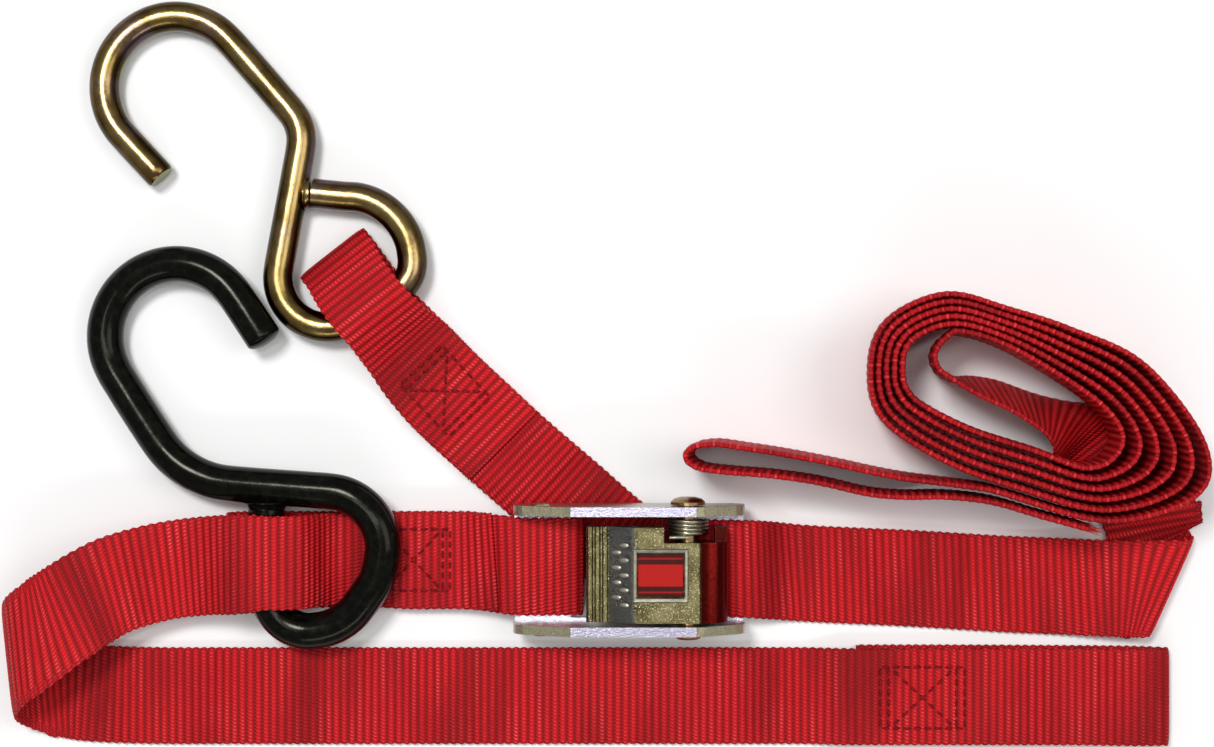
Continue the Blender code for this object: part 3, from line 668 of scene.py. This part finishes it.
def thread_finish():
    made = Finish("thread", (0.2, 0.004, 0.006), 0.6)
    made.specular(0.15)
    twist = made.noise(900.0, 2.0)
    made.colour(made.ramp(twist, ((0.3, (0.09, 0.002, 0.003)), (0.7, (0.26, 0.005, 0.008)))))
    made.bump(twist, 0.0001)
    return made.material


def speckled_finish(name, dark, light, roughness, metallic, grain, depth):
    """A plain finish that wanders between two tones, with a fine grain."""
    made = Finish(name, light, roughness, metallic)
    speckle = made.noise(grain, 4.0)
    made.colour(made.ramp(speckle, ((0.3, dark), (0.7, light))))
    made.bump(speckle, depth)
    return made.material


def loose_yarn_finish():
    return speckled_finish("loose_yarn", (0.25, 0.003, 0.005), (0.60, 0.02, 0.02), 0.6, 0.0, 900.0, 0.0001)


def rivet_finish():
    return speckled_finish("rivet", (0.24, 0.155, 0.075), (0.36, 0.245, 0.125), 0.28, 1.0, 600.0, 0.00004)


def nose_finish():
    # Dark red: a painted reflection of the red webbing on the polished nose.
    dark, light = (0.085, 0.004, 0.003), (0.135, 0.008, 0.007)
    return speckled_finish("nose_with_painted_reflection", dark, light, 0.2, 1.0, 1200.0, 0.00002)


def yellow_zinc_finish():
    """Yellow chromate on zinc, with patches of violet and copper. Its colour also follows which way the
    surface faces, as painted light: dark bronze flanks in painted shade, a painted olive reflection where
    they are upright, and painted gold highlights above and below."""
    made = Finish("yellow_zinc", (0.3, 0.2, 0.06), 0.2, 1.0)
    level_share = made.maths("ABSOLUTE", made.axes(made.facing())["Z"])
    # Painted light: this colour is set by how level the surface is, dark on the flanks and bright gold facing
    # up or down.
    gold = made.ramp(made.wander(level_share, made.noise(110.0, 4.0), 0.5), (
        (0.0, (0.20, 0.22, 0.05)), (0.16, (0.040, 0.035, 0.009)), (0.48, (0.030, 0.019, 0.006)),
        (0.72, (0.075, 0.046, 0.013)), (0.88, (0.27, 0.18, 0.055)), (1.0, (0.33, 0.235, 0.10)),
    ))
    violet = made.mask(made.noise(70.0, 2.0), 0.55, 0.7)
    toned = made.tinted(violet, 0.22, gold, (0.26, 0.17, 0.28))
    copper = made.mask(made.noise(190.0, 5.0, roughness=0.65), 0.5, 0.62)
    toned = made.tinted(copper, 0.5, toned, (0.085, 0.035, 0.009))
    scratch = made.noise(900.0, 6.0, roughness=0.75)
    made.colour(made.tinted(made.mask(scratch, 0.6, 0.72), 0.3, toned, (0.50, 0.42, 0.28)))
    made.rough(made.noise(260.0, 4.0), 0.12, 0.3)
    made.bump(scratch, 0.00004)
    return made.material


def vinyl_finish():
    """Dipped vinyl: glossy black, with a faint orange peel and scuffs."""
    made = Finish("black_vinyl", (0.003, 0.003, 0.003), 0.2)
    made.specular(0.15)
    made.shader.inputs["Specular Tint"].default_value = (1.0, 0.95, 0.8, 1.0)
    scuff = made.noise(420.0, 6.0, roughness=0.7)
    made.colour(made.ramp(scuff, ((0.45, (0.0015, 0.002, 0.0015)), (0.9, (0.010, 0.010, 0.007)))))
    made.rough(scuff, 0.11, 0.24)
    made.bump(made.noise(160.0, 3.0), 0.0002, 0.5)
    return made.material


def plated_finish(name, cool, warm, roughness, grain_scale, grain_depth):
    """Zinc-plated steel with rolling marks along X, coloured by which way it faces as painted light: cool on
    level faces and yellower on sloping ones.
    """
    made = Finish(name, cool, roughness, 1.0)
    grain = made.noise(grain_scale, 6.0, at=made.scaled(made.place(), (0.45, 1.0, 1.0)), roughness=0.7)
    upward = made.wander(made.axes(made.facing())["Z"], made.noise(150.0, 3.0), 0.025)
    # Painted light: the tint below follows which way the surface faces.
    tint = made.ramp(upward, (
        (0.0, (0.50, 0.48, 0.42)), (0.5, (0.42, 0.39, 0.28)), (0.975, warm), (0.991, cool),
    ))
    dull = made.mix(0.5, tint, (0.05, 0.045, 0.06))
    made.colour(made.mix(made.mask(grain, 0.42, 0.62), tint, dull))
    made.rough(grain, roughness - 0.12, roughness + 0.2)
    made.bump(grain, grain_depth)
    return made.material


PANEL_LEFT, PANEL_RIGHT = 0.5, 6.9  # the lever's sloped panel, along X
NOSE_LEFT = 23.9


def cast_finish():
    """A plated die casting: olive with painted glints, a darker sloped panel, and a dark red nose that is a
    painted reflection of the red webbing.
    """
    made = Finish("cast_lever", (0.3, 0.26, 0.12), 0.3, 1.0)
    pits_and_glints = made.noise(2300.0, 5.0, roughness=0.7)
    cloud = made.noise(260.0, 3.0)
    skin = made.ramp(cloud, (
        (0.3, (0.07, 0.06, 0.022)), (0.55, (0.14, 0.12, 0.05)), (0.8, (0.27, 0.24, 0.12)),
    ))
    # Painted glints: bright specks where the pits noise peaks.
    skin = made.tinted(made.mask(pits_and_glints, 0.56, 0.66), 0.85, skin, (0.95, 0.88, 0.62))
    x = made.axes(made.place())["X"]

    def right_of(edge):
        return made.maths("GREATER_THAN", x, (edge - CENTRE.x) * MM)

    panel = made.maths("SUBTRACT", right_of(PANEL_LEFT), right_of(PANEL_RIGHT))
    skin = made.tinted(panel, 0.85, skin, (0.10, 0.10, 0.105))
    # Painted reflection: the nose is tinted dark red by the webbing it faces.
    made.colour(made.tinted(right_of(NOSE_LEFT), 0.93, skin, (0.16, 0.012, 0.010)))
    made.rough(cloud, 0.18, 0.4)
    made.bump(pits_and_glints, 0.00018)
    return made.material


def inlay_finish():
    """A printed plate: red along its middle, then a dark band, a red line and a dark edge on either
    side, all plain."""
    bright, dark, line = (0.46, 0.010, 0.007), (0.02, 0.004, 0.003), (0.42, 0.012, 0.010)
    made = Finish("inlay", (0.4, 0.012, 0.01), 0.4)
    made.specular(0.15)
    low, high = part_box("lever_inlay")
    middle = (low[1] + high[1]) / 2
    offset = made.maths("ABSOLUTE", made.maths("SUBTRACT", made.axes(made.place())["Y"], middle))
    share = made.maths("DIVIDE", offset, (high[1] - low[1]) / 2)
    bands = made.ramp(share, (
        (0.0, bright), (0.50, bright), (0.53, dark), (0.74, dark), (0.77, line), (0.86, dark),
    ))
    stain = made.noise(700.0, 3.0)
    made.colour(made.tinted(stain, 0.25, bands, (0.30, 0.01, 0.01)))
    made.rough(stain, 0.25, 0.45)
    made.bump(stain, 0.00003)
    return made.material


# ---------------------------------------------------------------- webbing

SECTION = 13  # points across each face of the webbing
STATION = RIB / 4  # from one ring of points to the next
HALF_THICK = 0.7
EDGE_SWELL = 0.14
EDGE_THIN = 0.45  # the share of its thickness that the webbing loses at its edges
RIB_RISE = 0.11
SCALLOP = 0.20
CLEAR = 0.02  # the webbing's lowest points stand this far off the table


def along_evenly(route):
    """The route's stations, the same distance apart, and its length."""
    fine = np.array([tuple(s) for s in smooth_chain(route, 1.0)])
    gaps = np.linalg.norm(np.diff(fine[:, :3], axis=0), axis=1)
    reach = np.concatenate([[0.0], np.cumsum(gaps)])
    wanted = np.arange(0.0, reach[-1], STATION)
    columns = [np.interp(wanted, reach, fine[:, c]) for c in range(fine.shape[1])]
    return np.stack(columns, axis=1), reach[-1]


def unit(rows):
    return rows / np.linalg.norm(rows, axis=1, keepdims=True)


def webbing_surface(stations):
    """The webbing's points, ring by ring, and where each is on the flat strap."""
    places, across, width = stations[:, :3], unit(stations[:, 3:6]), stations[:, 6]
    square = np.cross(unit(np.gradient(places, axis=0)), across)
    stretch = np.where(np.abs(across[:, 2]) < 0.01, 1.0 / np.linalg.norm(square, axis=1), 1.0)
    rise = unit(square)
    reach = np.arange(len(places)) * STATION
    rib = np.cos(2 * math.pi * reach / RIB)
    half = width / 2 * stretch - 0.1 + SCALLOP * rib
    share = np.cos(np.linspace(0.0, math.pi, SECTION))
    share = np.sign(share) * np.abs(share) ** 0.8
    rounding = 1.0 - EDGE_THIN * np.abs(share) ** 10
    thick = HALF_THICK + EDGE_SWELL * np.abs(across[:, 2:3]) ** 4  # standing on edge, it fills out
    points = np.empty((len(places), 2 * SECTION, 3))
    uv = np.empty((len(places), 2 * SECTION, 2))
    for face, sign, way in ((0, 1.0, 1), (1, -1.0, -1)):
        order = share[::way]
        offset = half[:, None] * order[None, :]
        profile = thick * rounding[::way][None, :]
        flatter = 1.0 - np.abs(order) ** 6  # ribs fade out towards the edges
        lift = sign * (profile + RIB_RISE * rib[:, None] * flatter[None, :])
        span = slice(face * SECTION, (face + 1) * SECTION)
        side = across[:, None, :] * offset[:, :, None]
        points[:, span] = places[:, None, :] + side + rise[:, None, :] * lift[:, :, None]
        uv[:, span, 0] = reach[:, None]
        uv[:, span, 1] = offset
    lowest = points[:, :, 2].min(axis=1)
    points[:, :, 2] += np.maximum(0.0, CLEAR - lowest)[:, None]
    return points, uv


def webbing(name, node, route, finish):
    """Ribbed webbing along a route: ribs stand out of both faces and scallop its edges."""
    stations, length = along_evenly(route)
    points, uv = webbing_surface(stations)
    faces = rod_faces(len(stations), 2 * SECTION)
    piece = new_piece(name, put(points.reshape(-1, 3)), faces, finish, "strap", uv=uv.reshape(-1, 2))
    facing_out(piece)
    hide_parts(node)
    print(f"{name}: flat {WEB_WIDTH:.1f} x {length:.0f} mm")


# The seams of a stitched box, as shares of its half length and half width
SEAMS = (
    ((-1, -1), (1, -1)), ((1, -1), (1, 1)), ((1, 1), (-1, 1)), ((-1, 1), (-1, -1)),
    ((-0.8, -1), (-0.8, 1)), ((0.8, -1), (0.8, 1)),
    ((-0.72, -0.92), (0.72, 0.92)), ((-0.72, 0.92), (0.72, -0.92)),
)
STITCH_PITCH = 2.9
STITCH_HALF = 1.05  # half of one stitch's length
THREAD_RADIUS = 0.34


def one_stitch(middle, run, rings, sides):
    """A short thread along the run, higher in its middle, that dips into the webbing at its ends."""
    cross = Vector((-run.y, run.x, 0.0))
    points = []
    for r in range(rings):
        t = r / (rings - 1) * 2 - 1
        radius = THREAD_RADIUS * math.sqrt(max(1 - abs(t) ** 3, 0.03))
        place = middle + run * t * STITCH_HALF + Vector((0, 0, 0.16 * (1 - t * t) - 0.1))
        for angle in circle(sides):
            lift = Vector((0, 0, math.sin(angle) * radius * 0.8))
            points.append(tuple(place + cross * math.cos(angle) * radius + lift))
    return points


def stitches(name, node, centre, along, length, width, height, finish):
    """A box of stitches, double at its short ends, with a cross in it."""
    heading = Vector((math.cos(math.radians(along)), math.sin(math.radians(along)), 0.0))
    side = Vector((-heading.y, heading.x, 0.0))
    half = Vector((length / 2, width / 2))
    base = Vector((centre[0], centre[1], height))
    sides, rings = 8, 7
    points = []
    faces = []
    for start, end in SEAMS:
        a = base + heading * start[0] * half.x + side * start[1] * half.y
        b = base + heading * end[0] * half.x + side * end[1] * half.y
        count = max(1, round((b - a).length / STITCH_PITCH))
        for k in range(count):
            faces += rod_faces(rings, sides, len(points))
            points += one_stitch(a.lerp(b, (k + 0.5) / count), (b - a).normalized(), rings, sides)
    piece = new_piece(name, put(points), faces, finish, "strap")
    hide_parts(node)


YARNS = 90
YARN_RADIUS = 0.11
YARN_FLOOR = 0.2  # the lowest that a yarn's middle line goes


def frayed_end(route, finish):
    """Loose yarns at the coil's cut end."""
    rng = random.Random(7)
    last, before = Vector(tuple(route[-1])[:3]), Vector(tuple(route[-2])[:3])
    heading = (last - before).normalized()
    across = Vector(tuple(route[-1])[3:6]).normalized()
    square = heading.cross(across)
    rings, sides = 7, 5
    points = []
    faces = []
    for _ in range(YARNS):
        start = last + across * rng.uniform(-12.2, 12.2) + square * rng.uniform(-0.6, 0.6)
        bend = Vector((rng.uniform(-1, 1), rng.uniform(-1, 1), rng.uniform(-0.5, 0.5)))
        reach = rng.uniform(1.2, 4.2)
        faces += rod_faces(rings, sides, len(points))
        for r in range(rings):
            t = r / (rings - 1)
            place = start + heading * (reach * t - 0.5) + bend * 0.8 * t * t * reach / 3
            place.z = max(place.z, YARN_FLOOR)
            radius = YARN_RADIUS * (1 - 0.6 * r / (rings - 1))
            for angle in circle(sides):
                offset = across * math.cos(angle) + square * math.sin(angle)
                points.append(tuple(place + offset * radius))
    piece = new_piece("frayed_end", put(points), faces, finish, "strap")


# ---------------------------------------------------------------- hooks and buckle

WIRE_SIDES = 40


def gold_hook(finish):
    """The gold hook's wire, with its tip's edge eased."""
    places = smooth_chain(gold_places(4.5), 1.2)
    tip, second = Vector(tuple(places[0])), Vector(tuple(places[1]))
    places[0] = tip - (second - tip).normalized() * 0.4
    places[1] = tip + (second - tip) * 0.25
    radii = [WIRE_RADIUS] * len(places)
    radii[0], radii[1] = WIRE_RADIUS - 0.55, WIRE_RADIUS - 0.08
    piece = tube("gold_hook_wire", places, radii, finish, "gold_hook", WIRE_SIDES)
    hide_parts("gold_hook")


def black_hook(finish):
    """The black hook's coat, with a domed tip."""
    places = [Vector(p) for p in smooth_chain(black_places(4.5), 1.2)]
    places.insert(0, places[0] - (places[1] - places[0]).normalized() * 1.6)
    places, radii = domed(places, COATING_RADIUS, COATING_RADIUS * 0.4, 10)
    piece = tube("black_hook_dip", places, radii, finish, "black_hook", WIRE_SIDES)
    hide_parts("black_hook_coating")


NECK_FLARE = 0.16  # a weld's neck widens by this share towards the shank
NECK_RIPPLE = 0.02


def weld_fillet(name, centre, heading, radius, reach, finish, body):
    """A turned neck of weld metal between a wire's end and its shank."""
    rings, sides = 9, 32
    axis = Vector((math.cos(math.radians(heading)), math.sin(math.radians(heading)), 0.0))
    side = Vector((-axis.y, axis.x, 0.0))
    points = []
    for r in range(rings):
        t = r / (rings - 1)
        size = radius * (1.0 + NECK_FLARE * t * t)
        for angle in circle(sides):
            ripple = 1 + NECK_RIPPLE * math.sin(angle * 5 + r)
            offset = side * math.cos(angle) + Vector((0, 0, math.sin(angle)))
            points.append(tuple(Vector(centre) + axis * reach * (t - 0.3) + offset * size * ripple))
    piece = new_piece(name, put(points), rod_faces(rings, sides), finish, body)
    facing_out(piece)


def dress(node, finish, bevel=0.0):
    """A CAD node keeps its shape, takes a finish and has its edges eased."""
    piece = nodes[node]
    piece.data.materials.clear()
    piece.data.materials.append(finish)
    if bevel:
        ease = piece.modifiers.new("eased_edges", "BEVEL")
        ease.width = bevel * MM
        ease.segments = 3
        ease.limit_method = "ANGLE"
        ease.angle_limit = math.radians(40)
        ease.harden_normals = True


PIP_HALF_LENGTH, PIP_HALF_WIDTH, PIP_RISE = 1.35, 0.72, 0.5
PANEL_SLOPE = 0.62  # the panel's rise for each millimetre along X


def panel_pips(finish):
    """Plain raised bars on the lever's sloped panel, in two staggered rows, in place of its lettering."""
    points = []
    faces = []
    rings, sides = 6, 20
    for k in range(9):
        x, z = (2.3, 17.75) if k % 2 else (4.2, 18.85)
        middle = Vector((x, LEVER_Y - 7.6 + 1.9 * k, z))
        faces += ring_faces(rings, sides, len(points))
        for r in range(rings):
            tilt = math.pi / 2 * r / (rings - 1)
            for angle in circle(sides):
                x = PIP_HALF_LENGTH * math.cos(angle) * math.cos(tilt)
                y = PIP_HALF_WIDTH * math.sin(angle) * math.cos(tilt)
                z = PANEL_SLOPE * x + PIP_RISE * math.sin(tilt)
                points.append(tuple(middle + Vector((x, y, z))))
    piece = new_piece("panel_pips", put(points), faces, finish, "lever")


# The nose's outline round the pivot, as (angle in degrees, radius), and then along the lever's top
NOSE_ROUND = ((-75, 6.15), (-60, 6.7), (-45, 7.8), (-30, 9.0), (-15, 9.85), (0, 10.15), (12, 10.1))
NOSE_TOP = ((29.5, 18.0), (28.2, 18.9), (26.6, 19.4), (25.0, 19.65), (23.5, 19.75))
NOSE_DEPTH = 0.06  # the share of its distance from the pivot that the nose's skin is thick


def cam_nose(finish):
    """The cam's polished, rounded nose, along the lever as far as the spring's notch."""
    profile = []
    for angle, radius in NOSE_ROUND:
        turn = math.radians(angle)
        profile.append((PIVOT_X + radius * math.cos(turn), PIVOT_Z + radius * math.sin(turn), 0.0))
    profile += [(x, z, 0.0) for x, z in NOSE_TOP]
    outer = [Vector((p.x, p.y)) for p in smooth_chain(profile, 0.4)]
    pivot = Vector((PIVOT_X, PIVOT_Z))
    inner = [pivot + (p - pivot) * (1 - NOSE_DEPTH) for p in outer[::-1]]
    ring = outer + inner
    size = len(ring)
    ends = (LEVER_Y - LEVER_HALF - 0.03, LEVER_Y + LEVER_HALF - 3.95)
    points = [(p.x, y, p.y) for y in ends for p in ring]
    faces = ring_faces(2, size)
    for k in range(len(outer) - 1):
        near = (k, k + 1, size - 2 - k, size - 1 - k)
        faces += [near[::-1], tuple(size + i for i in near)]
    piece = new_piece("cam_nose", put(points), faces, finish, "lever")
    piece.data.set_sharp_from_angle(angle=SHARP)
    facing_out(piece)


# The rim round the inlay, from outside to inside, as (left, right, half width, height)
RIM = (
    (6.5, 20.6, 6.85, 20.42),
    (6.75, 20.35, 6.6, 20.64),
    (7.4, 19.8, 5.9, 20.6),
    (7.75, 19.45, 5.6, 19.75),
)


def recess_rim(finish):
    """The bevelled frame round the lever's inlay."""
    points = []
    for left, right, half, z in RIM:
        near, far = LEVER_Y - half, LEVER_Y + half
        points += [(left, near, z), (right, near, z), (right, far, z), (left, far, z)]
    piece = new_piece("recess_rim", put(points), ring_faces(len(RIM), 4), finish, "lever", smooth=False)


def spring(finish):
    """The cam's torsion spring, of rounder wire than the CAD's."""
    places = [Vector(p) for p in smooth_chain([tuple(p) for p in spring_places()], 0.5)]
    piece = tube("spring_wire", places, [SPRING_WIRE] * len(places), finish, "strap", 14)
    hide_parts("torsion_spring")


# ---------------------------------------------------------------- stage, in metres

FLOOR_HALF = 3.0
FLOOR_Z = -0.0003
# Each lamp: name, place, width and depth, power, colour
LAMPS = (
    ("key", (-0.25, 0.30, 0.95), (0.22, 0.22), 6.0, (1.0, 1.0, 1.0)),
    ("fill", (0.55, 0.10, 0.85), (0.5, 0.5), 2.2, (1.0, 0.99, 0.97)),
    ("front", (0.05, -0.75, 0.55), (0.8, 0.12), 1.4, (0.98, 0.99, 1.0)),
    ("strip", (-0.05, 0.10, 1.15), (0.7, 0.06), 1.6, (1.0, 1.0, 1.0)),
)
SKY = 0.28
CAMERA_HEIGHT = 0.520
HALF_VIEW = 0.1597  # half of the picture's width on the floor


def floor():
    mesh = bpy.data.meshes.new("floor")
    half = FLOOR_HALF
    corners = [(-half, -half, FLOOR_Z), (half, -half, FLOOR_Z), (half, half, FLOOR_Z), (-half, half, FLOOR_Z)]
    mesh.from_pydata(corners, [], [(0, 1, 2, 3)])
    paint = Finish("floor", (0.92, 0.92, 0.92), 0.9)
    paint.colour(paint.ramp(paint.noise(40.0, 2.0), ((0.0, (0.91, 0.91, 0.91)), (1.0, (0.93, 0.93, 0.93)))))
    mesh.materials.append(paint.material)
    made = bpy.data.objects.new("floor", mesh)
    bpy.context.scene.collection.objects.link(made)


def lamps():
    for name, place, size, power, tone in LAMPS:
        lamp = bpy.data.lights.new(name, "AREA")
        lamp.shape = "RECTANGLE"
        lamp.size, lamp.size_y = size
        lamp.energy = power
        lamp.color = tone
        holder = bpy.data.objects.new(name, lamp)
        holder.location = place
        holder.rotation_euler = (-Vector(place)).to_track_quat("-Z", "Y").to_euler()
        bpy.context.scene.collection.objects.link(holder)


def sky():
    world = bpy.data.worlds.new("studio")
    bpy.context.scene.world = world
    world.use_nodes = True
    world.node_tree.nodes["Background"].inputs["Color"].default_value = (1.0, 1.0, 1.0, 1.0)
    world.node_tree.nodes["Background"].inputs["Strength"].default_value = SKY
    bpy.context.scene.view_settings.view_transform = "Standard"


def camera():
    data = bpy.data.cameras.new("camera")
    data.sensor_width = 36.0
    data.lens = data.sensor_width / 2 * CAMERA_HEIGHT / HALF_VIEW
    data.clip_start = 0.01
    made = bpy.data.objects.new("camera", data)
    made.location = (-CENTRE.x * MM, -CENTRE.y * MM, CAMERA_HEIGHT)
    bpy.context.scene.collection.objects.link(made)
    bpy.context.scene.camera = made


# ---------------------------------------------------------------- the whole scene

def straps():
    red = webbing_finish()
    thread = thread_finish()
    main_route = main_strap_route()
    webbing("main_webbing", "main_strap", main_route, red)
    webbing("anchor_webbing", "anchor_strap", anchor_strap_route(), red)
    webbing("soft_tie_webbing", "soft_tie_strap", soft_tie_route(), red)
    frayed_end(main_route, loose_yarn_finish())
    top_of_second = SECOND + HALF_THICK + RIB_RISE
    top_of_third = THIRD + HALF_THICK + RIB_RISE
    stitches("main_stitches", "main_strap_stitching", (-42.3, -4.6), -47, 18.6, 15.0, top_of_second, thread)
    stitches("anchor_stitches", "anchor_stitching", (-50.4, -48.6), 0, 19.0, 16.0, top_of_third, thread)
    stitches("tie_stitches", "soft_tie_stitching", (82.5, -84.8), 0, 22.0, 16.0, top_of_second, thread)


def hooks(steel):
    zinc = yellow_zinc_finish()
    vinyl = vinyl_finish()
    gold_hook(zinc)
    black_hook(vinyl)
    dress("gold_hook_weld", zinc)
    dress("black_hook_core", steel)
    dress("black_hook_weld", vinyl)
    weld_fillet("gold_weld_neck", (-77.6, 46.9, 5.3), 180, 3.9, 1.6, zinc, "gold_hook")
    weld_fillet("black_weld_neck", (-88.1, -34.9, 8.1), 90, 4.7, 2.2, vinyl, "black_hook")


def buckle(steel):
    wire = plated_finish("spring_steel", (0.66, 0.64, 0.58), (0.30, 0.27, 0.17), 0.24, 900.0, 0.00003)
    rim = plated_finish("lever_rim", (0.42, 0.40, 0.31), (0.30, 0.27, 0.19), 0.3, 800.0, 0.00008)
    # The bars' pale colour is partly their polished metal and partly a painted highlight on their raised
    # faces.
    bars = plated_finish("panel_bars", (0.85, 0.83, 0.76), (0.80, 0.77, 0.66), 0.42, 800.0, 0.00003)
    dress("buckle_frame", steel)
    dress("pivot_rivet", rivet_finish(), 0.2)
    dress("cam_lever", cast_finish(), 0.3)
    dress("lever_inlay", inlay_finish(), 0.1)
    panel_pips(bars)
    cam_nose(nose_finish())
    recess_rim(rim)
    spring(wire)


def build():
    steel = plated_finish("zinc_plated_steel", (0.66, 0.63, 0.78), (0.85, 0.79, 0.50), 0.26, 2400.0, 0.00008)
    straps()
    hooks(steel)
    buckle(steel)
    floor()
    lamps()
    sky()
    camera()


build()
